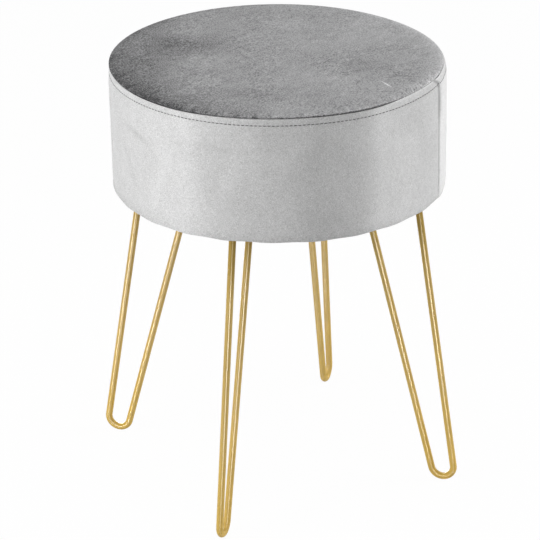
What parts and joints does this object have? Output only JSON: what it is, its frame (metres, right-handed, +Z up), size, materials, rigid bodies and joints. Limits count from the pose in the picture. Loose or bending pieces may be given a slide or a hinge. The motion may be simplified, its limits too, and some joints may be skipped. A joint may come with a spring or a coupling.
{
  "type": "footstool",
  "caption": "Round velvet footstool: a straight-sided upholstered drum with a top-stitched upper edge, standing on splayed hairpin rod legs.",
  "frame": {"origin": "on the floor, under the centre of the seat", "axes": "+Z up; the legs stand on +X, +Y, -X and -Y, numbered 1 to 4 in that order"},
  "size_m": [0.4054, 0.4054, 0.465],
  "materials": {
    "velvet_top": "matte",
    "velvet_band": "matte",
    "foam": "matte",
    "plywood": "matte",
    "softwood": "matte",
    "hardboard": "matte",
    "nonwoven": "matte",
    "gold_lacquer": "satin",
    "zinc_steel": "satin"
  },
  "bodies": {
    "root": {"base_board": "plywood", "cover_staples": "zinc_steel", "dust_cover": "nonwoven", "frame_post_1": "softwood", "frame_post_2": "softwood", "frame_post_3": "softwood", "frame_post_4": "softwood", "frame_screws": "zinc_steel", "leg_bolts": "zinc_steel", "leg_plate_1": "gold_lacquer", "leg_plate_2": "gold_lacquer", "leg_plate_3": "gold_lacquer", "leg_plate_4": "gold_lacquer", "leg_rod_1": "gold_lacquer", "leg_rod_2": "gold_lacquer", "leg_rod_3": "gold_lacquer", "leg_rod_4": "gold_lacquer", "leg_welds": "gold_lacquer", "pronged_nuts": "zinc_steel", "side_cover": "velvet_band", "side_foam": "foam", "top_board": "plywood", "top_cover": "velvet_top", "top_foam": "foam", "wall_nails": "zinc_steel", "wall_panel": "hardboard"}
  },
  "joints": []
}
